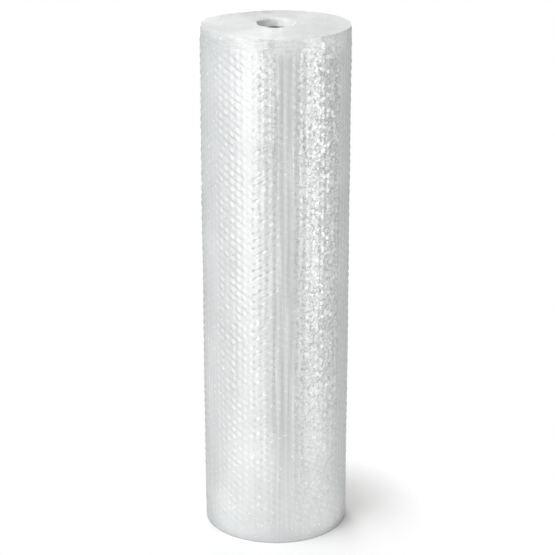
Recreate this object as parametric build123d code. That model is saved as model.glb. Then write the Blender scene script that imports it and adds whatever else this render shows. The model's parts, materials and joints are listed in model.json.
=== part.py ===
from build123d import *
import math
import os

# A roll of clear bubble film that stands on end. It is one long sheet, wound on itself with no tube,
# and the place of the winding rod is left open as a round hole. The flat film faces out, the bubbles
# face in, and the film is drawn tight over them, so each upright column of bubbles shows as a ridge.
# The frame stands on the lower end of the roll, with Z up along the axis of the hole.

# Driving sizes, in millimetres and degrees
SHEET_WIDTH = 750.0
SHEET_THICKNESS = 3.3
TURN_GAP = 0.33
TURNS = 22
HOLE_DIAMETER = 53.0
BUBBLE_PITCH = 11.3
RIDGE_HEIGHT = 0.5
CLIMB_ANGLE = 70.0
INNER_END_DIRECTION = 170.0

# Sizes that follow from them
TURN_PITCH = SHEET_THICKNESS + TURN_GAP
HOLE_RADIUS = HOLE_DIAMETER / 2
FULL_TURN = 360.0
QUARTER_TURN = 90.0
ROUND_ANGLE = FULL_TURN - CLIMB_ANGLE
SHEET_END = FULL_TURN * TURNS - CLIMB_ANGLE
UNCOVERED_FROM = SHEET_END - FULL_TURN


def inner_radius(wound):
    """Radius of the sheet's inner face once `wound` degrees are on the roll, counted from the inner end."""
    turn = math.floor(wound / FULL_TURN)
    climbed = max(0.0, wound - turn * FULL_TURN - ROUND_ANGLE) / CLIMB_ANGLE
    rise = 2 * climbed**2 if climbed < 0.5 else 1 - 2 * (1 - climbed) ** 2
    return HOLE_RADIUS + TURN_PITCH * (turn + rise)


def at_angle(wound, radius):
    """Point of the roll's section in the direction that the winding has reached, at that radius."""
    angle = math.radians(INNER_END_DIRECTION + wound)
    return Vector(radius * math.cos(angle), radius * math.sin(angle))


def on_sheet(wound, depth):
    """Point of the roll's section at that winding angle, `depth` outside the sheet's inner face."""
    return at_angle(wound, inner_radius(wound) + depth)


def round_stretch(turn, depth, until):
    """The stretch of a turn that lies on a circle about the hole, up to the winding angle `until`."""
    start = turn * FULL_TURN
    radius = inner_radius(start) + depth
    return CenterArc((0, 0), radius, INNER_END_DIRECTION + start, min(until - start, ROUND_ANGLE))


def climb(turn, depth):
    """The stretch in which the sheet rises by one turn, to pass over itself: two arcs, one bent each way.

    Arcs that leave one circle and join the next without a kink meet halfway round the climb, at the
    geometric mean of the two radii.
    """
    start = turn * FULL_TURN + ROUND_ANGLE
    middle = start + CLIMB_ANGLE / 2
    end = start + CLIMB_ANGLE
    low = inner_radius(start) + depth
    high = inner_radius(end) + depth
    meeting = at_angle(middle, math.sqrt(low * high))
    onward = at_angle(start + QUARTER_TURN, 1)
    back = at_angle(end - QUARTER_TURN, 1)
    leaving = TangentArc(at_angle(start, low), meeting, tangent=onward)
    joining = TangentArc(at_angle(end, high), meeting, tangent=back)
    return [leaving, joining]


def plain_face(depth, until):
    """The sheet's inner or outer face in the section, from its inner end to the winding angle `until`."""
    edges = []
    for turn in range(TURNS):
        start = turn * FULL_TURN
        if start < until:
            edges.append(round_stretch(turn, depth, until))
        if start + FULL_TURN < until:
            edges += climb(turn, depth)
    return edges


def ridged_face():
    """The outer face of the last turn, which nothing covers: one shallow arc for each column of bubbles."""
    column_pitch = BUBBLE_PITCH * math.sqrt(3) / 2
    girth = 2 * math.pi * (inner_radius(SHEET_END) + SHEET_THICKNESS)
    columns = round(girth / column_pitch)
    step = FULL_TURN / columns
    edges = []
    for column in range(columns):
        start = UNCOVERED_FROM + column * step
        valley = on_sheet(start, SHEET_THICKNESS)
        crest = on_sheet(start + step / 2, SHEET_THICKNESS + RIDGE_HEIGHT)
        next_valley = on_sheet(start + step, SHEET_THICKNESS)
        edges.append(ThreePointArc(valley, crest, next_valley))
    return edges


def sheet_section():
    """The wound sheet as seen on the end of the roll."""
    edges = plain_face(0, SHEET_END)
    edges += plain_face(SHEET_THICKNESS, UNCOVERED_FROM)
    edges += ridged_face()
    for end in (0, SHEET_END):
        edges.append(Line(on_sheet(end, 0), on_sheet(end, SHEET_THICKNESS)))
    return make_face(edges)


def bubble_film_roll():
    """The whole roll: its section carried along the width of the sheet."""
    return extrude(sheet_section(), amount=SHEET_WIDTH)


os.makedirs("parts", exist_ok=True)
roll = bubble_film_roll()
roll.label = "bubble_film_roll"
export_step(roll, "parts/bubble_film_roll.step")
print("outer radius", round(inner_radius(SHEET_END) + SHEET_THICKNESS + RIDGE_HEIGHT, 2))
print("length of sheet", round(roll.volume / SHEET_WIDTH / SHEET_THICKNESS / 1000, 2), "m")
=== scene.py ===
# %% [markdown]
# # A roll of bubble film, standing on its end
# The roll is one long sheet of clear film with air bubbles, wound on itself round a bare hole. The packed
# CAD model gives its size and place. This lesson winds the sheet again as meshes with real bubbles,
# gives it a glossy milky finish, and sets it on a white floor in soft studio light.

# %% Load the frame
import json
import math

import bmesh
import bpy
import numpy as np
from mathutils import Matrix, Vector
from mathutils.geometry import delaunay_2d_cdt


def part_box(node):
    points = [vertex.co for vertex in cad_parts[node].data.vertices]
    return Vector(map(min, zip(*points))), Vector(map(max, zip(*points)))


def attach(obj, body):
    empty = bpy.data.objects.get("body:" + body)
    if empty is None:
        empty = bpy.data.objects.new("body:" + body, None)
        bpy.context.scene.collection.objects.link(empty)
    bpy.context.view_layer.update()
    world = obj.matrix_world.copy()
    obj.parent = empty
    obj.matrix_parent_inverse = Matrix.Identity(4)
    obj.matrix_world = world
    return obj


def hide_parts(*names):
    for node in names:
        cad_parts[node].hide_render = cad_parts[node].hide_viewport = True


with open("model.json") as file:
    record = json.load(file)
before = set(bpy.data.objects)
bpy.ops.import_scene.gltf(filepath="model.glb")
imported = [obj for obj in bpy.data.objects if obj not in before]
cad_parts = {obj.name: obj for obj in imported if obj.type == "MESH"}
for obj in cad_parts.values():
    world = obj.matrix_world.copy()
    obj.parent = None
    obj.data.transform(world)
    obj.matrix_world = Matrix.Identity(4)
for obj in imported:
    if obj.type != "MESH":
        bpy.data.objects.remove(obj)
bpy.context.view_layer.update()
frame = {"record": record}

# %% [markdown]
# ## Sizes of the sheet
# What the CAD model knows is read from it: the height, the outer radius and the radius of the hole. The
# rest are the sheet's own sizes. Everything below is in metres, and a winding angle in degrees tells how
# far along the sheet a point lies, counted from the inner end.

# %% Sizes
MM = 0.001
ROLL_NODE = "bubble_film_roll"
roll_low, roll_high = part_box(ROLL_NODE)
hole_mount = next(m for m in frame["record"]["mounts"] if m["name"] == "core_hole")

HEIGHT = roll_high.z - roll_low.z
ROLL_RADIUS = (roll_high.x - roll_low.x) / 2
HOLE_RADIUS = hole_mount["dims"]["r_mm"] * MM
SHEET_THICKNESS = 3.3 * MM
RIDGE_HEIGHT = 0.5 * MM
TURNS = 22
FILM_RADIUS = ROLL_RADIUS - RIDGE_HEIGHT
TURN_PITCH = (FILM_RADIUS - SHEET_THICKNESS - HOLE_RADIUS) / (TURNS - 1)

FULL_TURN = 360.0
CLIMB_ANGLE = 70.0
ROUND_ANGLE = FULL_TURN - CLIMB_ANGLE
INNER_END_DIRECTION = 170.0
SHEET_END = FULL_TURN * TURNS - CLIMB_ANGLE
UNCOVERED_FROM = SHEET_END - FULL_TURN
LAP_DIRECTION = (INNER_END_DIRECTION + SHEET_END) % FULL_TURN

COLUMNS = 68
COLUMN_STEP = FULL_TURN / COLUMNS
COLUMN_PITCH = 2 * math.pi * FILM_RADIUS / COLUMNS
BUBBLE_PITCH = 11.3 * MM
BUBBLE_RADIUS = 4.75 * MM
print("turn pitch", round(TURN_PITCH / MM, 3), "mm; column pitch", round(COLUMN_PITCH / MM, 2), "mm")

# %% [markdown]
# ## The camera
# The photo was taken with a long lens from a little above the roll. The two end ovals and the sides of
# the roll in the picture give the distance, the height and the tilt. The roll stands a hair left of the
# middle of the picture, so the camera is turned by that small angle.

# %% Camera
IMAGE_SIZE = 555
FOCAL_PIXELS = 1797.6
AXIS_PIXEL = 275.6
SENSOR_WIDTH = 36.0
CAMERA_DISTANCE = 2.473
CAMERA_HEIGHT = 1.242
CAMERA_TILT = math.radians(19.28)

camera_data = bpy.data.cameras.new("camera")
camera_data.sensor_width = SENSOR_WIDTH
camera_data.lens = FOCAL_PIXELS / IMAGE_SIZE * SENSOR_WIDTH
camera = bpy.data.objects.new("camera", camera_data)
camera.location = (0, -CAMERA_DISTANCE, CAMERA_HEIGHT)
camera_turn = math.atan((AXIS_PIXEL - IMAGE_SIZE / 2) / FOCAL_PIXELS)
camera.rotation_euler = (math.pi / 2 - CAMERA_TILT, 0, camera_turn)
bpy.context.scene.collection.objects.link(camera)
bpy.context.scene.camera = camera
print("lens", round(camera_data.lens, 1), "mm")

# %% [markdown]
# ## How the sheet winds
# On a real roll the sheet runs round and rises by its own thickness at each turn. Here it keeps to a
# circle for most of a turn and climbs in one short stretch, as the CAD model does. One function gives the
# radius at any winding angle, and works on whole arrays of angles at once.

# %% Winding


def inner_radius(wound):
    """Radius of the sheet's inner face at these winding angles."""
    turn = np.floor(wound / FULL_TURN)
    climbed = np.clip((wound - turn * FULL_TURN - ROUND_ANGLE) / CLIMB_ANGLE, 0, 1)
    rise = np.where(climbed < 0.5, 2 * climbed**2, 1 - 2 * (1 - climbed) ** 2)
    return HOLE_RADIUS + TURN_PITCH * (turn + rise)


WINDING_STEPS = 40000
winding_angles = np.linspace(0, SHEET_END, WINDING_STEPS)
winding_lengths = np.cumsum(inner_radius(winding_angles)) * math.radians(winding_angles[1])


def column_at(wound):
    """How many columns of bubbles lie between the inner end and these winding angles."""
    return np.interp(wound, winding_angles, winding_lengths) / COLUMN_PITCH


print("length along the sheet's inner face", round(float(winding_lengths[-1]), 2), "m")

# %% [markdown]
# ## How the wound sheet settles
# A wound sheet is never as exact as a drawing of it. Its cut edges rise and fall by up to a millimetre, the
# middle of the upper end stands up a little, the rims draw in because the cut bubbles there are flat, and
# the outer turns bulge softly. One function moves every point of every piece in the same way, so turns that
# lie on each other still do so afterwards. Sums of a few waves are smooth, repeat exactly, and need no
# stored numbers.

# %% Waves
EDGE_WAVES = ((0.5, 1.37, 0.0), (0.3, 3.21, 1.9), (0.2, 7.83, 0.6))


def edge_wave(wound):
    """A slow wave from 0 to 2 along the cut edge, from the size, pace and start of each part."""
    turned = np.radians(wound)
    return 1 + sum(size * np.sin(turned * pace + start) for size, pace, start in EDGE_WAVES)


def surface_waves(direction, z, waves):
    """A sum of waves over the roll: how often each goes round it, its pace up it, and its start."""
    return sum(np.sin(around * direction + up * z + start) for around, up, start in waves)


def nearness(distance, reach):
    """1 at an edge, falling smoothly to 0 at that reach from it."""
    share = np.clip(1 - distance / reach, 0, 1)
    return share * share


print("waves along the cut edge", len(EDGE_WAVES))

# %% Settling
EDGE_DROP = 0.45 * MM
EDGE_DROP_REACH = 30 * MM
EDGE_CURL = 0.8 * MM
EDGE_CURL_REACH = 7 * MM
FOOT_CURL_SHARE = 0.25
FOOT_DROP_SHARE = 0.3
MIDDLE_RISE = 2.4 * MM
BACK_RISE = 0.6
FLUSH_POWER = 8
BULGE = 0.14 * MM
BULGE_WAVES = ((3, 9, 0), (5, -17, 1), (0, 23, 2))
BULGE_MIDDLE = 1.5
BULGE_POWER = 4


def settle(wound, radius, z):
    """Points of the roll in space, once the sheet has settled."""
    direction = np.radians(INNER_END_DIRECTION + wound)
    outwards = np.clip((radius - HOLE_RADIUS) / (ROLL_RADIUS - HOLE_RADIUS), 0, 1)
    drop = EDGE_DROP * edge_wave(wound) * (1 - outwards**FLUSH_POWER)
    rise = MIDDLE_RISE * (1 - outwards) ** 2 * (1 + BACK_RISE * np.sin(direction))
    top_drop = (drop - rise) * nearness(HEIGHT - z, EDGE_DROP_REACH)
    foot_lift = FOOT_DROP_SHARE * drop * nearness(z, EDGE_DROP_REACH)
    curl = nearness(HEIGHT - z, EDGE_CURL_REACH) + FOOT_CURL_SHARE * nearness(z, EDGE_CURL_REACH)
    bulge = BULGE * outwards**BULGE_POWER * (surface_waves(direction, z, BULGE_WAVES) - BULGE_MIDDLE)
    moved = radius - EDGE_CURL * outwards * curl + bulge
    x = moved * np.cos(direction)
    y = moved * np.sin(direction)
    return np.stack([x, y, z - top_drop + foot_lift], axis=-1)


print("cut edges lie up to", round(2 * EDGE_DROP / MM, 1), "mm lower than the sheet's width")

# %% [markdown]
# ## The cut end of the sheet
# Where the sheet was cut to width, the knife went through bubbles. Seen from the end, each turn is a thin
# line of flat film with half-open bubbles hanging from its inner side: one column is cut through the
# middle of a bubble, the next one close to a bubble's edge. Solid strips would look like a clock spring,
# so the section is a closed outline with hollow bubbles, and it is carried along the sheet.

# %% Section of the sheet
FILM_WALL = 0.35 * MM
FLAT_THICKNESS = 2.3 * FILM_WALL
HOLLOW_DEPTH = 0.4 * MM
HOLLOW_INSET = 0.125
SCOOP_LEVELS = ((1.0, 0.0), (0.75, 0.4 * MM), (0.3, 0.9 * MM), (0.0, 1.5 * MM))
NARROW_HALF_WIDTH = 0.32
NARROW_HEIGHT = 0.6


def cut_thickness(column, evenness):
    """Thickness of the sheet along its cut edge: a wide bubble, then a narrow one, or more even."""
    wide = 1 - ((column % 2 - 0.5) / 0.5) ** 2
    narrow = NARROW_HEIGHT * (1 - ((column % 2 - 1.5) / NARROW_HALF_WIDTH) ** 2)
    bubble = evenness + (1 - evenness) * np.sqrt(np.clip(np.maximum(wide, narrow), 0, 1))
    return FLAT_THICKNESS + (SHEET_THICKNESS - FLAT_THICKNESS) * bubble


def end_outline(column, evenness):
    """Depth and distance from the cut end, from the outer face over the cut to the inner face."""
    thickness = cut_thickness(column, evenness)
    scoop = SHEET_THICKNESS - thickness
    hollow = HOLLOW_DEPTH * (thickness - 2 * FILM_WALL) / SHEET_THICKNESS
    inset = FILM_WALL + thickness * HOLLOW_INSET
    nothing = np.zeros_like(column)
    across = [
        (nothing + SHEET_THICKNESS, nothing),
        (nothing + SHEET_THICKNESS - FILM_WALL, nothing),
        (SHEET_THICKNESS - inset, hollow),
        (scoop + inset, hollow),
        (scoop + FILM_WALL, nothing),
    ]
    down = [(scoop * share, nothing + level) for share, level in SCOOP_LEVELS]
    return across + down


def section(column, evenness=0.0):
    """The sheet's outline at these columns, as arrays of depth and height: over the top, round the foot."""
    outline = end_outline(column, evenness)
    top = [(depth, HEIGHT - distance) for depth, distance in outline]
    foot = [(depth, distance) for depth, distance in reversed(outline)]
    depths, heights = zip(*(top + foot))
    return np.stack(depths, axis=1), np.stack(heights, axis=1)


print("points round the section", section(np.zeros(1))[0].shape[1])

# %% [markdown]
# ## Meshes from grids of points
# Carrying an outline along the sheet gives a grid of points: one row for each place along the sheet. The
# faces of such a grid follow from its counting order. A last step welds points that coincide, closes the
# two ends, turns all faces outwards and keeps the cut edges sharp.

# %% Mesh tools
WELD_DISTANCE = 0.002 * MM
SHARP_ANGLE = math.radians(40)


def grid_faces(rows, across, closed):
    """Four-cornered faces between the points of a grid, closed across its rows if asked."""
    first = np.arange(rows - 1)[:, None] * across
    left = np.arange(across if closed else across - 1)[None, :]
    right = (left + 1) % across
    corners = np.stack([first + left, first + right, first + across + right, first + across + left], axis=-1)
    return corners.reshape(-1, 4).tolist()


def film_piece(name, points, faces, edge_faces=0):
    """A closed mesh object of the film. Its last `edge_faces` faces take the piece's second material."""
    shape = bmesh.new()
    mesh = bpy.data.meshes.new(name)
    mesh.from_pydata(points.tolist(), [], faces)
    mesh.polygons.foreach_set("material_index", [0] * (len(faces) - edge_faces) + [1] * edge_faces)
    shape.from_mesh(mesh)
    bmesh.ops.remove_doubles(shape, verts=shape.verts, dist=WELD_DISTANCE)
    bmesh.ops.holes_fill(shape, edges=[e for e in shape.edges if e.is_boundary], sides=0)
    bmesh.ops.recalc_face_normals(shape, faces=shape.faces)
    shape.to_mesh(mesh)
    shape.free()
    mesh.shade_smooth()
    mesh.set_sharp_from_angle(angle=SHARP_ANGLE)
    piece = bpy.data.objects.new(name, mesh)
    bpy.context.scene.collection.objects.link(piece)
    mesh.calc_loop_triangles()
    open_edges = len(mesh.edges) * 2 - len(mesh.loops)
    print(name, "triangles", len(mesh.loop_triangles), "open edges", open_edges)
    return piece


# %% [markdown]
# ## The inner turns
# All turns but the first and the last show only their cut ends, so their long faces stay plain and the
# points go into the two ends.

# %% Inner turns
SAMPLES_PER_COLUMN = 6


def samples_along(start, end):
    """Winding angles from start to end, evenly spaced along the sheet."""
    count = round(float(column_at(end) - column_at(start)) * SAMPLES_PER_COLUMN) + 1
    columns = np.linspace(column_at(start), column_at(end), count)
    return np.interp(columns * COLUMN_PITCH, winding_lengths, winding_angles)


inner_wound = samples_along(FULL_TURN, UNCOVERED_FROM)
inner_depths, inner_heights = section(column_at(inner_wound))
inner_radii = inner_radius(inner_wound)[:, None] + inner_depths
inner_points = settle(inner_wound[:, None], inner_radii, inner_heights)
inner_turns = film_piece(
    "inner_turns",
    inner_points.reshape(-1, 3),
    grid_faces(len(inner_wound), inner_depths.shape[1], closed=True),
)

# %% [markdown]
# ## The turn round the hole
# The bubbles face inwards, so the wall of the hole shows them in full. Its inner face gets a fine grid of
# points, and each point is pushed in by the bubble that it lies on. The nearest bubble of a staggered
# pattern is the nearer one of two plain patterns: the even columns and the odd columns.

# %% Bubbles on the wall of the hole
HOLE_ROWS_PER_BUBBLE = 6
HOLE_RELIEF = 0.6 * MM
HOLE_EVENNESS = 0.6


def to_nearest(value):
    """Distance of a number from the nearest whole number, with its sign."""
    return value - np.round(value)


def bubble_share(column, z):
    """Distance from the middle of the nearest bubble, as a share of a bubble's radius."""
    row = z / BUBBLE_PITCH
    even = np.hypot(to_nearest(column / 2 - 0.25) * 2 * COLUMN_PITCH, to_nearest(row - 0.5) * BUBBLE_PITCH)
    odd = np.hypot(to_nearest(column / 2 - 0.75) * 2 * COLUMN_PITCH, to_nearest(row) * BUBBLE_PITCH)
    return np.minimum(even, odd) / BUBBLE_RADIUS


hole_wound = samples_along(0, FULL_TURN)
hole_columns = column_at(hole_wound)
wall_low = SCOOP_LEVELS[-1][1]
wall_count = round((HEIGHT - 2 * wall_low) / BUBBLE_PITCH * HOLE_ROWS_PER_BUBBLE)
wall_rows = np.linspace(HEIGHT - wall_low, wall_low, wall_count)[None, 1:-1]
wall_heights = wall_rows.repeat(len(hole_wound), axis=0)
wall_shares = bubble_share(hole_columns[:, None], wall_heights)
wall_blend = 1 - nearness(np.minimum(wall_heights, HEIGHT - wall_heights) - wall_low, BUBBLE_PITCH)
wall_domes = np.sqrt(np.clip(1 - wall_shares**2, 0, 1))
wall_depths = HOLE_RELIEF * (1 - wall_domes) * wall_blend
print("points on the wall of the hole", wall_depths.size)

# %% Hole turn
hole_depths, hole_heights = section(hole_columns, HOLE_EVENNESS)
end_points = hole_depths.shape[1] // 2
hole_depths = np.hstack([hole_depths[:, :end_points], wall_depths, hole_depths[:, end_points:]])
hole_heights = np.hstack([hole_heights[:, :end_points], wall_heights, hole_heights[:, end_points:]])
hole_points = settle(hole_wound[:, None], inner_radius(hole_wound)[:, None] + hole_depths, hole_heights)
hole_turn = film_piece(
    "hole_turn",
    hole_points.reshape(-1, 3),
    grid_faces(len(hole_wound), hole_depths.shape[1], closed=True),
)

# %% [markdown]
# ## The outer turn
# This face is what one sees of the roll. The film is flat on this side, but the air behind it swells every
# bubble into a shallow dome with a crease round it, and the film is drawn tight over the columns, so they
# stand out as upright ridges. A square grid would make square bubbles. Each bubble gets a middle point and
# two rings of points instead, and a Delaunay triangulation joins all of them.

# %% Bubbles of the outer turn
TOP_MARGIN = 15 * MM
FOOT_MARGIN = 17 * MM
SEED = 11

chance = np.random.default_rng(SEED)
row_count = int((HEIGHT - TOP_MARGIN - FOOT_MARGIN) / BUBBLE_PITCH - 0.5)
column_index, row_index = np.meshgrid(np.arange(COLUMNS), np.arange(row_count), indexing="ij")
column_index = column_index.ravel()
row_index = row_index.ravel()
bubble_column = column_index + 0.5
bubble_z = FOOT_MARGIN + (row_index + 0.5 + 0.5 * (column_index % 2)) * BUBBLE_PITCH
bubble_count = len(bubble_z)
print("bubbles on the outer turn", bubble_count)

# %% [markdown]
# Not every bubble is as full as the next. Bubbles near the cut edges and towards the foot are flatter, and
# broad patches of the sheet are drawn tighter than others. Each bubble also leans a little its own way and
# its film is a bit crumpled, which makes single bubbles flash in the light.

# %% Fullness of the sheet
EDGE_FADE = 26 * MM
FOOT_FADE = 300 * MM
FOOT_FULLNESS = 0.4
PATCH_WAVES = ((4, 21, 0), (7, -34, 2), (3, 47, 0))
PATCH_STRENGTH = 0.14


def fullness(column, z):
    """How full the bubbles are in this part of the sheet, as a share."""
    patches = surface_waves(np.radians(column * COLUMN_STEP), z, PATCH_WAVES)
    near_edge = nearness(HEIGHT - z, EDGE_FADE) + nearness(z, EDGE_FADE)
    height_share = FOOT_FULLNESS + (1 - FOOT_FULLNESS) * np.clip(z / FOOT_FADE, 0, 1)
    return np.clip(height_share * (1 + PATCH_STRENGTH * patches) * (1 - near_edge), 0, None)


def swell_at(column, middle, half_width):
    """1 where the sheet passes that direction of the roll, falling smoothly to 0 at the half width."""
    turned = LAP_DIRECTION + column * COLUMN_STEP - middle
    away = np.abs((turned + FULL_TURN / 2) % FULL_TURN - FULL_TURN / 2)
    share = np.clip(1 - (away / half_width) ** 2, 0, 1)
    return share * share


sheet_fullness = fullness(bubble_column, bubble_z)
print("fullness of the sheet up to", round(float(sheet_fullness.max()), 2))

# %% Fullness of each bubble
CALM_CRUMPLE = 0.1
CRUMPLED_DIRECTIONS = ((-55, 55), (60, 60), (165, 50))
TAUT_DIRECTION = -82
TAUT_HALF_WIDTH = 22
TAUT_SHARE = 0.5
LEAST_FULL = 0.45
MOST_FULL = 1.35
TILT = 0.06

slack = sum(swell_at(bubble_column, middle, half) for middle, half in CRUMPLED_DIRECTIONS)
bubble_crumple = (CALM_CRUMPLE + slack) * np.clip(bubble_z / FOOT_FADE, 0, 1)
taut = swell_at(bubble_column, TAUT_DIRECTION, TAUT_HALF_WIDTH)
bubble_fullness = sheet_fullness * chance.uniform(LEAST_FULL, MOST_FULL, bubble_count)
bubble_fullness = bubble_fullness * (1 - TAUT_SHARE * taut)
lean_around = chance.normal(0, TILT, bubble_count)
lean_up = chance.normal(0, TILT, bubble_count)
print("fullness", round(float(bubble_fullness.min()), 2), "to", round(float(bubble_fullness.max()), 2))

# %% [markdown]
# A point of the outer face is a spot on the flat sheet, given as its column and its height, and a lift off
# it. The rings of the bubbles come first, then one point in each web where three bubbles meet, and then rows
# of points along the cut edges and the two loose ends, which keep the borders straight.

# %% Points of the bubbles
RINGS = ((0.0, 1), (0.52, 6), (1.0, 12))
DOME_HEIGHT = 0.5 * MM
CREASE_DEPTH = 0.05 * MM
CRUMPLE = 0.12 * MM
WEB_CLEARANCE = 0.1

spots = []
lifts = []
for share, count in RINGS:
    for number in range(count):
        ring_angle = 2 * math.pi * number / count
        around = share * BUBBLE_RADIUS * math.cos(ring_angle)
        up = share * BUBBLE_RADIUS * math.sin(ring_angle)
        dome = DOME_HEIGHT * (1 - share**2) - CREASE_DEPTH * share**4
        lean = (lean_around * around + lean_up * up) * (1 - share**2)
        crumple = chance.normal(0, CRUMPLE, bubble_count) * share * bubble_crumple
        spots.append(np.stack([bubble_column + around / COLUMN_PITCH, bubble_z + up], axis=1))
        lifts.append((dome + lean + crumple) * bubble_fullness)

web_reach = BUBBLE_PITCH / math.sqrt(3) / COLUMN_PITCH
for side in (-1, 1):
    web_column = bubble_column + side * web_reach
    inside = (web_column > WEB_CLEARANCE) & (web_column < COLUMNS - WEB_CLEARANCE)
    spots.append(np.stack([web_column, bubble_z], axis=1)[inside])
    lifts.append(np.zeros(inside.sum()))
print("groups of points", len(spots))

# %% Points of the borders
EDGE_ROWS = (1.2 * MM, 2.6 * MM, 4.2 * MM, 6 * MM, 8 * MM, 10.5 * MM)


def add_flat(columns, heights):
    """More spots of the sheet, with no lift."""
    spots.append(np.stack(np.broadcast_arrays(columns, heights), axis=1).astype(float))
    lifts.append(np.zeros(len(spots[-1])))


edge_columns = np.linspace(0, COLUMNS, COLUMNS * SAMPLES_PER_COLUMN + 1)
for distance in EDGE_ROWS:
    for border_height in (distance, HEIGHT - distance):
        add_flat(edge_columns[1:-1:2], border_height)
for border_height in (0, HEIGHT):
    add_flat(edge_columns, border_height)
for border_column in (0, COLUMNS):
    add_flat(border_column, np.arange(BUBBLE_PITCH, HEIGHT - BUBBLE_PITCH / 2, BUBBLE_PITCH))

spots = np.concatenate(spots)
lifts = np.concatenate(lifts)
print("points of the outer face", len(spots))

# %% [markdown]
# The ridges of the columns and the small level folds under the upper rim run over bubbles and webs alike, so
# they are added to the lift of every point. Both die away at the cut edges, where the rim stays straight.

# %% Ridges and rim folds
COLUMN_RIDGE = 0.15 * MM
STRONG_RIDGE = 0.3 * MM
STRONG_HALF_WIDTH = 20
FOLD_HEIGHT = 0.3 * MM
FOLD_REACH = 24 * MM
FOLD_PACE = 1150
FOLD_BENDS = ((2.5, 5), (4, 2))
FOLD_PATCHES = 7
RIM_HOLD = 3 * MM

from_top = HEIGHT - spots[:, 1]
ridge_wave = 0.5 + 0.5 * np.cos(2 * math.pi * (spots[:, 0] - 0.5))
edge_fade = 1 - nearness(from_top, EDGE_FADE) - nearness(spots[:, 1], EDGE_FADE)
ridge_height = COLUMN_RIDGE + STRONG_RIDGE * swell_at(spots[:, 0], TAUT_DIRECTION, STRONG_HALF_WIDTH)
lifts = lifts + ridge_height * ridge_wave * edge_fade

fold_direction = np.radians(spots[:, 0] * COLUMN_STEP)
fold_bend = sum(size * np.sin(pace * fold_direction) for size, pace in FOLD_BENDS)
fold_patches = 0.5 + 0.5 * np.sin(FOLD_PATCHES * fold_direction + 1)
rim_folds = np.sin(spots[:, 1] * FOLD_PACE + fold_bend) * fold_patches
rim_hold = np.clip(from_top / RIM_HOLD, 0, 1)
lifts = lifts + FOLD_HEIGHT * rim_folds * nearness(from_top, FOLD_REACH) * rim_hold
print("lifts", round(float(lifts.min()) / MM, 2), "to", round(float(lifts.max()) / MM, 2), "mm")

# %% [markdown]
# The triangulation works on the flat sheet, in metres along and up it. Afterwards each point goes to its
# place on the roll. The other faces of this turn are the same carried outline as before, without its outer
# line, and welding joins the two.

# %% Outer turn
SAME_POINT = 1e-7

flat_spots = [Vector((column * COLUMN_PITCH, height)) for column, height in spots]
_, _, flat_faces, flat_origins, _, _ = delaunay_2d_cdt(flat_spots, [], [], 0, SAME_POINT)
order = [origin[0] for origin in flat_origins]
spots = spots[order]
lifts = lifts[order]

face_wound = UNCOVERED_FROM + spots[:, 0] * COLUMN_STEP
face_radii = inner_radius(face_wound) + SHEET_THICKNESS + lifts
face_points = settle(face_wound, face_radii, spots[:, 1])

back_wound = UNCOVERED_FROM + edge_columns * COLUMN_STEP
back_depths, back_heights = section(column_at(back_wound))
back_radii = inner_radius(back_wound)[:, None] + back_depths
back_points = settle(back_wound[:, None], back_radii, back_heights)
back_faces = grid_faces(len(back_wound), back_depths.shape[1], closed=False)
joined_faces = flat_faces + [[corner + len(face_points) for corner in face] for face in back_faces]
joined_points = np.concatenate([face_points, back_points.reshape(-1, 3)])
outer_turn = film_piece("outer_turn", joined_points, joined_faces, edge_faces=len(back_faces))

# %% [markdown]
# ## Shader maths as plain sums
# Materials below are worked out from the place on the roll. A socket wrapped in this small class takes part
# in ordinary sums, and each sign adds one Math node. Every other kind of node comes from its one method.

# %% Wire


class Wire:
    """An output of a shader node. Signs between wires and numbers add Math nodes."""

    def __init__(self, tree, socket=None):
        self.tree = tree
        self.socket = socket

    def add(self, kind, settings=None, values=None, output=0):
        """A new node of that kind: its settings first, then the values or wires of its inputs."""
        node = self.tree.nodes.new(kind)
        for name, setting in (settings or {}).items():
            setattr(node, name, setting)
        for name, value in (values or {}).items():
            if isinstance(value, Wire):
                self.tree.links.new(value.socket, node.inputs[name])
            else:
                node.inputs[name].default_value = value
        return Wire(self.tree, node.outputs[output] if node.outputs else None)

    def maths(self, operation, *values):
        """A Math node with that operation."""
        return self.add("ShaderNodeMath", {"operation": operation}, dict(enumerate(values)))

    def __add__(self, other):
        return self.maths("ADD", self, other)

    def __radd__(self, other):
        return self.maths("ADD", other, self)

    def __sub__(self, other):
        return self.maths("SUBTRACT", self, other)

    def __rsub__(self, other):
        return self.maths("SUBTRACT", other, self)

    def __mul__(self, other):
        return self.maths("MULTIPLY", self, other)

    def __rmul__(self, other):
        return self.maths("MULTIPLY", other, self)

    def __truediv__(self, other):
        return self.maths("DIVIDE", self, other)

    def __rtruediv__(self, other):
        return self.maths("DIVIDE", other, self)


print("a wire takes the signs + - * /")

# %% [markdown]
# A few helpers stand on that class. A fade turns a length or an angle into a share from 0 to 1, a band is a
# soft line, and noise and white noise stand for all that happens by chance on real film.

# %% Shader helpers


def fade(wire, start, end):
    """0 before start, 1 after end, smooth between."""
    values = {"Value": wire, "From Min": start, "From Max": end, "To Min": 0.0, "To Max": 1.0}
    return wire.add("ShaderNodeMapRange", {"interpolation_type": "SMOOTHSTEP"}, values)


def band(wire, start, middle, end):
    """1 at the middle, falling smoothly to 0 at the start and the end."""
    return fade(wire, start, middle) - fade(wire, middle, end)


def mixed(share, first, second):
    """A colour between two, by a share."""
    values = {0: share, 6: first, 7: second}
    return share.add("ShaderNodeMix", {"data_type": "RGBA"}, values, output=2)


def noise(where, scale, detail, roughness=0.5):
    """Soft noise from 0 to 1. The scale is about the number of its bumps in a metre."""
    values = {"Vector": where, "Scale": scale, "Detail": detail, "Roughness": roughness}
    return where.add("ShaderNodeTexNoise", {}, values)


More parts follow.
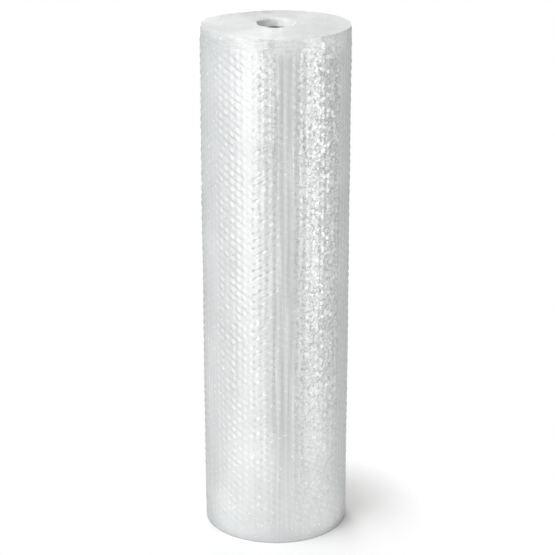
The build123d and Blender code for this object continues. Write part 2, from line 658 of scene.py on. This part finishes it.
def vectors(operation, first, second, output="Vector"):
    """A Vector Math node with that operation."""
    return first.add("ShaderNodeVectorMath", {"operation": operation}, {0: first, 1: second}, output=output)


def drawn_out(where, up):
    """The place with its height scaled, for a pattern that is long or flat along the roll."""
    return vectors("MULTIPLY", where, (1, 1, up))


def part_of(where, axis):
    """One of the three coordinates of a place."""
    return where.add("ShaderNodeSeparateXYZ", {}, {0: where}, output=axis)


def direction_of(where):
    """The direction of a place round the axis of the roll, in degrees."""
    return where.maths("ARCTAN2", part_of(where, "Y"), part_of(where, "X")) * math.degrees(1)


def total(parts):
    """The sum of several wires."""
    result = parts[0]
    for part in parts[1:]:
        result = result + part
    return result


print("shader helpers ready")

# %% [markdown]
# ## Where a point lies on the roll
# The finish follows the bubbles, so a point's place is turned into sheet terms first: its direction round
# the roll in degrees, its column and its row. Object coordinates keep the pattern on the roll whatever the
# camera does.

# %% Place on the roll


def new_material(name):
    """An empty material, as a wire to add its nodes from."""
    material = bpy.data.materials.new(name)
    material.use_nodes = True
    material.node_tree.nodes.clear()
    return material, Wire(material.node_tree)


def off_whole(value):
    """Distance of a wire's value from the nearest whole number."""
    return value.maths("ABSOLUTE", value.maths("WRAP", value, 0.5, -0.5))


bubble_film, film = new_material("bubble_film")
where = film.add("ShaderNodeTexCoord", output="Object")
z = part_of(where, "Z")
angle = direction_of(where)
column = (angle - LAP_DIRECTION) / COLUMN_STEP
row = (z - FOOT_MARGIN) / BUBBLE_PITCH
print("column step", round(COLUMN_STEP, 2), "degrees")

# %% [markdown]
# ## Zones of the sheet
# The film isn't drawn equally tight all round. Some stretches are drawn aslant and show slanting grooves,
# some are drawn straight and show the crests of the columns, and some are slack and crumpled. Each zone is a
# soft mask round a direction of the roll: its middle, the half width of its core, and its reach, in degrees.
# All zones get weaker towards the foot and the cut edges.

# %% Heights on the roll
FOOT_STRENGTH = 0.35

upwards = FOOT_STRENGTH + fade(z, 20 * MM, 360 * MM) * (1 - FOOT_STRENGTH)
off_foot = fade(z, 12 * MM, 40 * MM)
bubbled = off_foot * (1 - fade(z, HEIGHT - 34 * MM, HEIGHT - 14 * MM))
high_up = fade(z, 480 * MM, 620 * MM)
margin = fade(z, HEIGHT - 36 * MM, HEIGHT - 10 * MM)
# painted shade: a thin dark line along the foot, where the roll meets the floor
foot_painted_shade = 1 - fade(z, 0.8 * MM, 2.4 * MM)
print("the film's strength at the foot", FOOT_STRENGTH)

# %% Zones
CRUMPLED_ZONES = ((-53, 14, 28), (60, 10, 50), (165, 5, 40))
UPPER_CRUMPLED_ZONE = (-96, 4, 13)
UPPER_CRUMPLED_SHARE = 0.6
MARGIN_SMOOTHING = 0.55
DRAWN_ZONES = ((-129, 6, 18), (15, 5, 40))
LOWER_DRAWN_ZONE = (-98, 6, 16)
FAINT_DRAWN_ZONE = (-112, 10, 20)
FAINT_DRAWN_SHARE = 0.3
UPRIGHT_ZONES = ((-83, 7, 15), (110, 5, 40))


def zone(middle, core, reach):
    """1 in that direction of the roll and within the core beside it, falling smoothly to 0 at the reach."""
    away = angle.maths("ABSOLUTE", angle.maths("WRAP", angle - middle, 180.0, -180.0))
    return 1 - fade(away, core, reach)


crumpled = total([zone(*place) for place in CRUMPLED_ZONES])
crumpled = crumpled + zone(*UPPER_CRUMPLED_ZONE) * high_up * UPPER_CRUMPLED_SHARE
crumpled = crumpled * upwards * off_foot * (1 - margin * MARGIN_SMOOTHING)
drawn = total([zone(*place) for place in DRAWN_ZONES])
drawn = drawn + zone(*LOWER_DRAWN_ZONE) * (1 - high_up * UPPER_CRUMPLED_SHARE)
drawn = drawn + zone(*FAINT_DRAWN_ZONE) * FAINT_DRAWN_SHARE
drawn = drawn * upwards * bubbled
upright = total([zone(*place) for place in UPRIGHT_ZONES]) * upwards * bubbled
print("zones all the way up", len(CRUMPLED_ZONES + DRAWN_ZONES + UPRIGHT_ZONES))

# %% [markdown]
# ## Bubbles seen in the film
# A bubble gets a pale disc, which is a painted highlight, and a thin grey ring of painted shade where its
# film is creased, and the bubbles of the turn beneath show through faintly. A staggered pattern is two plain
# ones, so the nearest bubble is the nearer of two. A chance number for each bubble makes the painted
# highlight strong on some of them and leaves others dull. The painted discs lean one way to the left of the
# bright band and the other way to the right of it, as the film is drawn there.

# %% Rings round the bubbles
TURN_BENEATH_COLUMNS = 66
TURN_BENEATH_TURNED = 2
TURN_BENEATH_RAISED = 4 * MM


def ring_distance(columns, turned, raised, slant=None):
    """Distance from the middle of the nearest bubble, in bubble radii, on discs that lean by the slant."""
    own_column = (angle - turned) * (columns / FULL_TURN)
    own_row = (z - raised) / BUBBLE_PITCH
    distances = []
    for start in (0.5, 1.5):
        across = film.maths("WRAP", (own_column - start) / 2, 0.5, -0.5) * (2 * COLUMN_PITCH / BUBBLE_RADIUS)
        along = film.maths("WRAP", own_row - start / 2 - 0.25, 0.5, -0.5) * (BUBBLE_PITCH / BUBBLE_RADIUS)
        if slant is not None:
            along = along + across * slant
        distances.append(across * across + along * along)
    return film.maths("SQRT", film.maths("MINIMUM", *distances))


ring = ring_distance(COLUMNS, LAP_DIRECTION, FOOT_MARGIN)
beneath = ring_distance(
    TURN_BENEATH_COLUMNS, LAP_DIRECTION + TURN_BENEATH_TURNED, FOOT_MARGIN + TURN_BENEATH_RAISED
)
# painted shade: a thin grey ring round each bubble; the crease also sinks in the bump below
crease_relief_and_painted_shade = band(ring, 0.75, 0.98, 1.15) * bubbled
ghost = band(beneath, 0.6, 0.95, 1.25) * bubbled
print("columns of the turn beneath", TURN_BENEATH_COLUMNS)

# %% Discs
DISC_SLANT = 0.55
SLANT_TURNS_FROM = -118
SLANT_TURNS_TO = -106

column_number = film.maths("FLOOR", column)
odd_column = film.maths("MODULO", column_number + 2 * COLUMNS, 2.0)
row_number = film.maths("FLOOR", row - odd_column / 2)
bubble_number = film.add("ShaderNodeCombineXYZ", {}, {"X": column_number, "Y": row_number})
luck = film.add("ShaderNodeTexWhiteNoise", {}, {"Vector": bubble_number}, output="Value")
right_side = fade(angle, SLANT_TURNS_FROM, SLANT_TURNS_TO)
disc_slant = DISC_SLANT - right_side * (2 * DISC_SLANT)
leaning = ring_distance(COLUMNS, LAP_DIRECTION, FOOT_MARGIN, disc_slant)
# painted highlight: a pale slanted disc on the bubbles that catch the light
disc_painted_highlight = (1 - fade(leaning, 0.35, 0.9)) * fade(luck, 0.25, 0.9) * drawn
print("slant of the discs", DISC_SLANT)

# %% [markdown]
# ## Grooves and crests
# Where the film is drawn aslant, its tension lines run between the bubbles as grooves in the bump, and
# painted shade darkens them. They fall to the right on the left of the bright band and rise to the right on
# its other side, like a chevron, so each side has its own family of lines. Noise breaks them up, because
# real tension jumps from bubble to bubble. Where the film is drawn straight, the crest of each column rises
# in the bump and gets a thin upright painted highlight, and painted shade darkens the valleys between
# crests.

# %% Grooves and crests
TENSION_SCALE = 75.0
WOBBLE_SCALE = 95.0
WOBBLE = 0.5
FALLING_WIDTH = 0.16
RISING_WIDTH = 0.3
OTHER_SIDE = 0.15
CREST_WIDTH = 0.17

patchy = noise(where, TENSION_SCALE, 2.0, 0.6)
wobble = (noise(where, WOBBLE_SCALE, 1.0) - 0.5) * WOBBLE
falling_line = off_whole(row + column / 2 - 0.25 + wobble)
rising_line = off_whole(row - column / 2 - 0.25 + wobble)
falling_groove = (1 - fade(falling_line, 0.0, FALLING_WIDTH)) * (1 - right_side * (1 - OTHER_SIDE))
rising_groove = (1 - fade(rising_line, 0.0, RISING_WIDTH)) * (OTHER_SIDE + right_side * (1 - OTHER_SIDE))
groove_luck = 0.3 + fade(luck, 0.15, 0.75) * 0.9
# painted shade along the grooves, which also sink in the bump
groove_relief_and_painted_shade = (falling_groove + rising_groove) * fade(patchy, 0.3, 0.52) * groove_luck * drawn
off_crest = off_whole(column - 0.5)
# painted highlight on the crests, which also rise in the bump, and painted shade in the valleys
crest_relief_and_painted_highlight = (1 - fade(off_crest, 0.0, CREST_WIDTH)) * fade(patchy, 0.25, 0.5) * upright
valley_painted_shade = fade(off_crest, 0.2, 0.45) * upright
print("width of a crest", round(2 * CREST_WIDTH * COLUMN_PITCH / MM, 1), "mm")

# %% [markdown]
# ## Crumpled film
# Slack film breaks into small flat facets. Voronoi cells give them: each cell is tilted its own way in the
# bump, which is the dot product of the cell's colour with the place in the cell. Each facet is also painted
# lighter or darker by how its tilt faces a fixed light direction, which is painted light, and some of the
# cell edges get thin dark lines of painted shade.

# %% Facets
FACET_SCALE = 180.0
FACET_PAINTED_LIGHT_DIRECTION = (1.0, 0.5, -0.6)
LINED_SCALE = 160.0


def facets(feature, output):
    """One output of the Voronoi cells that stand for the facets."""
    values = {"Vector": where, "Scale": FACET_SCALE}
    return film.add("ShaderNodeTexVoronoi", {"feature": feature}, values, output=output)


facet_slope = vectors("SUBTRACT", facets("F1", "Color"), (0.5, 0.5, 0.5))
facet_offset = vectors("SUBTRACT", where, facets("F1", "Position"))
facet_height = vectors("DOT_PRODUCT", facet_offset, facet_slope, output="Value")
# painted light: each facet lighter or darker by its tilt against a fixed light direction
facet_painted_light = fade(vectors("DOT_PRODUCT", facet_slope, FACET_PAINTED_LIGHT_DIRECTION, output="Value"), -0.2, 0.6)
lined = fade(noise(where, LINED_SCALE, 1.0), 0.42, 0.56)
# painted shade: thin dark lines along some facet edges
facet_edge_painted_shade = (1 - fade(facets("DISTANCE_TO_EDGE", "Distance"), 0.02, 0.16)) * lined * crumpled
print("facets are about", round(1 / FACET_SCALE / MM, 1), "mm wide")

# %% [markdown]
# ## The film's finish
# Clear film in many turns looks milky white, with a cool tint. Noise of several sizes mottles it, and long
# upright streaks show where it is drawn straight. Pale marks and painted highlights are mixed in first, and
# thin dark lines and painted shade after them, each with its own weight.

# %% Mottling, streaks and folds
CLOUD_SCALE = 14.0
WRINKLE_SCALE = 230.0
STREAK_SCALE = 210.0
STREAK_FLATTENING = 0.03
FOLD_SCALE = 55.0
FOLD_FLATTENING = 5
FOLD_LINE_WIDTH = 0.045

clouds = noise(where, CLOUD_SCALE, 2.0)
wrinkles = noise(where, WRINKLE_SCALE, 2.0, 0.6)
streaks = noise(drawn_out(where, STREAK_FLATTENING), STREAK_SCALE, 1.0)
bright_streak = fade(streaks, 0.56, 0.7) * upright
dark_streak = fade(streaks, 0.46, 0.3) * upright
folds = noise(drawn_out(where, FOLD_FLATTENING), FOLD_SCALE, 2.0)
# painted shade: thin grey lines along the level folds under the upper rim
fold_painted_shade = (1 - fade(film.maths("ABSOLUTE", folds - 0.5), 0.0, FOLD_LINE_WIDTH)) * margin
mottling = fade(clouds * 0.6 + wrinkles * 0.25 + streaks * 0.3, 0.35, 0.85)
print("wrinkles are about", round(1 / WRINKLE_SCALE / MM, 1), "mm wide")

# %% Colour of the film
MILKY = (0.616, 0.628, 0.635, 1)
PALE = (0.712, 0.725, 0.733, 1)
WHITE = (0.88, 0.885, 0.89, 1)
LINE_AND_SHADE_GREY = (0.34, 0.345, 0.35, 1)
RIM_PALE_LEFT = (-83, 9, 22)
RIM_PALE_RIGHT = (-38, 9, 20)
RIM_PAINTED_SHADE = (-103, 6, 18)
UPRIGHT_PAINTED_SHADE = (-81, 7, 19)
LOWER_RIGHT_PAINTED_SHADE = (-24, 8, 19)
UPPER_LEFT_PAINTED_SHADE = (-156, 10, 24)

lower_part = 1 - fade(z, 350 * MM, 650 * MM)
upper_part = fade(z, 400 * MM, 600 * MM)
# pale marks: painted highlights on discs and crests, painted light on facets, pale streaks and pale rim
# patches
pale_marks_and_painted_highlights = [
    disc_painted_highlight * (0.5 + right_side * 0.5),
    facet_painted_light * crumpled * 0.54,
    crest_relief_and_painted_highlight * 0.38,
    bright_streak * 0.55,
    margin * zone(*RIM_PALE_LEFT) * 0.5,
    margin * zone(*RIM_PALE_RIGHT) * 0.45,
]
# dark lines: painted shade in creases, grooves, valleys, facet edges, folds and along the foot, and the
# faint rings of the turn beneath and dark streaks
dark_lines_and_painted_shade = [
    crease_relief_and_painted_shade * 0.1,
    ghost * 0.08,
    groove_relief_and_painted_shade * (0.22 + right_side * 0.1),
    valley_painted_shade * 0.12,
    dark_streak * 0.2,
    facet_edge_painted_shade * 0.65,
    fold_painted_shade * 0.3,
    foot_painted_shade * 0.5,
]
# painted shade: broad patches darkened where the lamps leave the roll too bright, and under the rim where
# the highlight is dimmed
painted_shade_zones = [
    zone(*UPRIGHT_PAINTED_SHADE) * 0.1,
    margin * zone(*RIM_PAINTED_SHADE) * 0.16,
    zone(*LOWER_RIGHT_PAINTED_SHADE) * lower_part * 0.13,
    zone(*UPPER_LEFT_PAINTED_SHADE) * upper_part * 0.06,
]
bright = mixed(total(pale_marks_and_painted_highlights), mixed(mottling, MILKY, PALE), WHITE)
colour = mixed(total(dark_lines_and_painted_shade + painted_shade_zones), bright, LINE_AND_SHADE_GREY)
print("kinds of mark in the colour", len(pale_marks_and_painted_highlights + dark_lines_and_painted_shade + painted_shade_zones))

# %% [markdown]
# The gloss is strong and even from the front, because light comes back from many layers of film, so a small
# metallic share stands for them. What stands out by less than the mesh can hold, such as grooves, facets and
# fine wrinkles, is bump. Its heights are in millimetres.

# %% Relief and shader of the film
CALM_FACETS = 0.04
CRUMPLED_FACETS = 0.14

raised = [
    facet_height * (CALM_FACETS + crumpled * CRUMPLED_FACETS) * (1 / MM),
    wrinkles * 0.08,
    folds * margin * 1.1,
    crest_relief_and_painted_highlight * 0.14,
    bright_streak * 0.14,
]
sunken = [groove_relief_and_painted_shade * (0.24 + right_side * 0.16), crease_relief_and_painted_shade * 0.08]
relief = total(raised) - total(sunken)
bump = film.add("ShaderNodeBump", {}, {"Strength": 1.0, "Distance": MM, "Height": relief})
film_values = {
    "Base Color": colour,
    "Roughness": 0.19 + wrinkles * 0.12,
    "Metallic": 0.35,
    "IOR": 1.5,
    "Specular IOR Level": 0.1,
    "Specular Tint": (0.4, 0.405, 0.41, 1),
    "Normal": bump,
}
film_shader = film.add("ShaderNodeBsdfPrincipled", {}, film_values)
film.add("ShaderNodeOutputMaterial", {}, {"Surface": film_shader})
print("nodes of the film", len(bubble_film.node_tree.nodes))

# %% [markdown]
# ## The film at its cut ends
# The ends of the turns and the wall of the hole are the same film. There the light goes into the edges and
# comes out again some millimetres away, which is subsurface light. It fills the dark side of the small
# steps, and so do normals that are turned part of the way towards the axis. Two opposite fans of painted
# highlight stand for the shine of the wound edges, as on finely turned metal, and the edges are painted
# paler from left to right, against the light that comes from the left. The wall of the hole is painted pale
# near its rim, with painted shade towards its right and darker painted shade further down, where little
# light gets to.

# %% Tone of the cut ends
EDGE_MILKY = (0.50, 0.51, 0.515, 1)
EDGE_PALE = (0.88, 0.885, 0.89, 1)
SIDEWAYS_PAINTED_LIGHT = 4.2
FAN_DIRECTION = -107.0
FAN_CORE = 4.0
FAN_REACH = 50.0
FAN_PAINTED_HIGHLIGHT = 0.47
MOTTLE_SCALE = 30.0
MOTTLE_TONE = 0.2


def edge_colour_and_painted_light(place, grain):
    """Colour of the cut edges: painted paler to the right, with two opposite fans of painted highlight and a
    faint mottling.
    """
    # painted highlight: two opposite fans along one direction, like the shine of turned metal
    off_fan = place.maths("WRAP", direction_of(place) - FAN_DIRECTION, 90.0, -90.0)
    fan_painted_highlight = 1 - fade(place.maths("ABSOLUTE", off_fan), FAN_CORE, FAN_REACH)
    mottled = fade(noise(place, MOTTLE_SCALE, 2.0) * 0.7 + grain * 0.3, 0.3, 0.75) - 0.5
    # painted light: paler towards the right, against the light from the left
    share = 0.5 + part_of(place, "X") * SIDEWAYS_PAINTED_LIGHT + fan_painted_highlight * FAN_PAINTED_HIGHLIGHT + mottled * MOTTLE_TONE
    return mixed(share, EDGE_MILKY, EDGE_PALE)


print("direction of the fan", FAN_DIRECTION, "degrees")

# %% Tone of the hole's wall
HOLE_PALE = (0.97, 0.975, 0.98, 1)
HOLE_RIGHT_PAINTED_SHADE = (0.78, 0.785, 0.79, 1)
DEEP_PAINTED_SHADE = (0.06, 0.06, 0.06, 1)
RIM_DEPTH = 0.8 * MM
LIGHT_DEPTH = 8 * MM
DARK_DEPTH = 9.4 * MM


def wall_tone_and_painted_shade(place, rim_tone):
    """Colour of the wall of the hole, painted duller towards its right, from its rim down into painted
    shade.
    """
    height = part_of(place, "Z")
    depth = place.maths("MINIMUM", height, HEIGHT - height)
    # painted shade: the wall duller towards its right
    wall = mixed(fade(part_of(place, "X"), -HOLE_RADIUS, HOLE_RADIUS), HOLE_PALE, HOLE_RIGHT_PAINTED_SHADE)
    upper = mixed(fade(depth, RIM_DEPTH, 3 * RIM_DEPTH), rim_tone, wall)
    # painted shade: dark further down the hole, where little light gets to
    return mixed(fade(depth, LIGHT_DEPTH, DARK_DEPTH), upper, DEEP_PAINTED_SHADE)


print("the hole is dark from", round(DARK_DEPTH / MM, 1), "mm down")

# %% Edge material
GRAIN_SCALE = 500.0
SOFTENING = 8.0
END_DEPTH = 6 * MM
EDGE_GLOW_REACH = 12 * MM
HOLE_GLOW_REACH = 6 * MM


def softened_normal(place):
    """The normal, turned towards the axis of the roll near both of its ends."""
    height = part_of(place, "Z")
    above = fade(height, HEIGHT - 2 * END_DEPTH, HEIGHT - END_DEPTH)
    below = 1 - fade(height, END_DEPTH, 2 * END_DEPTH)
    axial = place.add("ShaderNodeCombineXYZ", {}, {"Z": (above - below) * SOFTENING})
    leaning_normal = vectors("ADD", place.add("ShaderNodeNewGeometry", output="Normal"), axial)
    return place.add("ShaderNodeVectorMath", {"operation": "NORMALIZE"}, {0: leaning_normal})


def edge_material(name, hole_with_painted_shade):
    """The cut film, and for the hole its painted shade that grows with depth."""
    material, edges = new_material(name)
    place = edges.add("ShaderNodeTexCoord", output="Object")
    grain = noise(place, GRAIN_SCALE, 2.0)
    tone = edge_colour_and_painted_light(place, grain)
    normal = softened_normal(place)
    relief_values = {"Strength": 0.25, "Distance": 0.4 * MM, "Height": grain, "Normal": normal}
    values = {
        "Base Color": wall_tone_and_painted_shade(place, tone) if hole_with_painted_shade else tone,
        "Roughness": 0.45 + grain * 0.2,
        "IOR": 1.5,
        "Normal": edges.add("ShaderNodeBump", {}, relief_values),
        "Subsurface Weight": 1.0,
        "Subsurface Radius": (1.0, 1.0, 1.0),
        "Subsurface Scale": HOLE_GLOW_REACH if hole_with_painted_shade else EDGE_GLOW_REACH,
    }
    shader = edges.add("ShaderNodeBsdfPrincipled", {}, values)
    edges.add("ShaderNodeOutputMaterial", {}, {"Surface": shader})
    print("nodes of", name, len(material.node_tree.nodes))
    return material


film_edges = edge_material("film_edges", hole_with_painted_shade=False)
hole_film = edge_material("hole_film", hole_with_painted_shade=True)

# %% [markdown]
# ## Dressing the roll
# Each mesh takes its finish, rides on the roll's one body and stands in for the roll's one solid. The outer
# turn has two finishes: the film on its outer face, and the cut film on all its other faces.

# %% Dress the roll
finishes = ((outer_turn, (bubble_film, film_edges)), (inner_turns, (film_edges,)), (hole_turn, (hole_film,)))
for piece, materials in finishes:
    for material in materials:
        piece.data.materials.append(material)
    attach(piece, "root")
    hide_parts(ROLL_NODE)
print("dressed", ROLL_NODE)

# %% [markdown]
# ## White floor
# The photo's background is white paper with a soft shadow beside the foot. The floor is a matt white surface
# that takes the lamps' light and the roll's shadow. For rays from the camera, and for reflections, it passes
# into an even white glow a little way out from the roll, so that the picture stays white without more light
# on the roll.

# %% Floor
FLOOR_HALF = 12.0
SHADOW_REACH = ROLL_RADIUS + 0.12
PAPER = (0.88, 0.88, 0.88, 1)
LIGHT_WHITE = (1, 1, 1, 1)


def seen_directly(start):
    """1 for rays from the camera, from mirror reflections and through clear surfaces."""
    camera_ray = start.add("ShaderNodeLightPath", output="Is Camera Ray")
    glossy_ray = start.add("ShaderNodeLightPath", output="Is Glossy Ray")
    clear_ray = start.add("ShaderNodeLightPath", output="Is Transmission Ray")
    return start.maths("MAXIMUM", camera_ray, start.maths("MAXIMUM", glossy_ray, clear_ray))


def blended(share, first, second):
    """A shader between two, by a share."""
    return share.add("ShaderNodeMixShader", {}, {0: share, 1: first, 2: second})


floor_mesh = bpy.data.meshes.new("floor")
floor_corners = [(-FLOOR_HALF, -FLOOR_HALF, 0), (FLOOR_HALF, -FLOOR_HALF, 0)]
floor_corners += [(FLOOR_HALF, FLOOR_HALF, 0), (-FLOOR_HALF, FLOOR_HALF, 0)]
floor_mesh.from_pydata(floor_corners, [], [(0, 1, 2, 3)])
floor = bpy.data.objects.new("floor", floor_mesh)
bpy.context.scene.collection.objects.link(floor)

white_floor, paper = new_material("white_floor")
floor_place = paper.add("ShaderNodeTexCoord", output="Object")
from_axis = paper.add("ShaderNodeVectorMath", {"operation": "LENGTH"}, {0: floor_place}, output="Value")
outwards_range = {"Value": from_axis, "From Min": ROLL_RADIUS, "From Max": SHADOW_REACH}
far_share = paper.add("ShaderNodeMapRange", {"interpolation_type": "LINEAR"}, outwards_range)
matt = paper.add("ShaderNodeBsdfDiffuse", {}, {"Color": PAPER})
glow = paper.add("ShaderNodeEmission", {}, {"Color": LIGHT_WHITE, "Strength": 1.0})
whole_paper = blended(seen_directly(paper) * far_share, matt, glow)
paper.add("ShaderNodeOutputMaterial", {}, {"Surface": whole_paper})
floor_mesh.materials.append(white_floor)
print("floor glows from", round(SHADOW_REACH, 2), "m out")

# %% [markdown]
# ## Light
# The room gives a soft even light, brighter from the front right than from the back left. What the camera
# and the reflections see of it is plain white, like the backdrop of the photo.

# %% World
FILL_LEFT = 0.01
FILL_RIGHT = 0.47
BRIGHT_SIDE = (0.5, -0.87, 0.0)

world = bpy.data.worlds.new("studio")
bpy.context.scene.world = world
world.use_nodes = True
world.node_tree.nodes.clear()
sky = Wire(world.node_tree)


def evenly_lit(strength):
    """A room of one brightness."""
    return sky.add("ShaderNodeBackground", {}, {"Color": LIGHT_WHITE, "Strength": strength})


sky_direction = sky.add("ShaderNodeTexCoord", output=0)
brightwards = vectors("DOT_PRODUCT", sky_direction, BRIGHT_SIDE, output="Value")
room = blended(fade(brightwards, -0.6, 0.8), evenly_lit(FILL_LEFT), evenly_lit(FILL_RIGHT))
whole_sky = blended(seen_directly(sky), room, evenly_lit(1.0))
sky.add("ShaderNodeOutputWorld", {}, {"Surface": whole_sky})
print("room from", FILL_LEFT, "to", FILL_RIGHT)

# %% [markdown]
# A tall softbox on the left makes the broad pale band down the roll, and a narrower strip light on the right
# makes the band of sparkles. A large softbox high on the left lights the upper end and throws the shadow to
# the right, and one behind the roll brightens its edges. Floor paper that is lit by a softbox shines back up
# at the roll, which four cards that lie on the floor stand for: they lead both bands down to the foot.

# %% Lamps
WARM_WHITE = (1.0, 0.985, 0.962)
COOL_WHITE = (0.985, 1.0, 1.0)
CARD_HEIGHT = 4 * MM


def area_lamp(name, width, tall, power, tint):
    """A rectangular lamp that the camera doesn't see, not yet in its place."""
    lamp_data = bpy.data.lights.new(name, "AREA")
    lamp_data.shape = "RECTANGLE"
    lamp_data.size = width
    lamp_data.size_y = tall
    lamp_data.energy = power
    lamp_data.color = tint
    lamp = bpy.data.objects.new(name, lamp_data)
    lamp.visible_camera = False
    bpy.context.scene.collection.objects.link(lamp)
    return lamp


def out_from_axis(azimuth, distance, height):
    """A place round the roll. Azimuth 0 is in front of it, and positive is to the right."""
    turn = math.radians(azimuth)
    return Vector((distance * math.sin(turn), -distance * math.cos(turn), height))


def softbox(name, azimuth, distance, height, width, tall, power, tint=WARM_WHITE):
    """A lamp that faces the middle of the roll."""
    lamp = area_lamp(name, width, tall, power, tint)
    lamp.location = out_from_axis(azimuth, distance, height)
    aim = Vector((0, 0, HEIGHT / 2)) - lamp.location
    lamp.rotation_euler = aim.to_track_quat("-Z", "Y").to_euler()


def floor_card(name, azimuth, near, far, width, power):
    """A lamp that lies on the floor and points up, from near to far in the direction of that azimuth."""
    lamp = area_lamp(name, width, far - near, power, WARM_WHITE)
    lamp.location = out_from_axis(azimuth, (near + far) / 2, CARD_HEIGHT)
    lamp.rotation_euler = (math.pi, 0, math.radians(azimuth))


softbox("key_softbox", azimuth=-38, distance=0.9, height=0.5, width=0.6, tall=0.9, power=2.06)
softbox("side_strip", azimuth=59, distance=0.9, height=0.5, width=0.4, tall=0.9, power=2.02)
softbox(
    "top_softbox", azimuth=-60, distance=0.95, height=2.0, width=1.2, tall=1.2, power=32.3, tint=COOL_WHITE
)
softbox("back_softbox", azimuth=-174, distance=1.0, height=0.6, width=0.4, tall=0.9, power=8.0)
floor_card("key_card", azimuth=-38, near=0.3, far=1.1, width=0.44, power=0.82)
floor_card("key_foot_card", azimuth=-38, near=0.112, far=0.3, width=0.36, power=0.064)
floor_card("strip_card", azimuth=58, near=0.3, far=1.1, width=0.26, power=0.49)
floor_card("strip_foot_card", azimuth=57, near=0.112, far=0.3, width=0.22, power=0.03)
print("lamps", len(bpy.data.lights))

# %% [markdown]
# ## The picture
# The Standard view keeps white paper white.

# %% Picture settings
bpy.context.scene.view_settings.view_transform = "Standard"
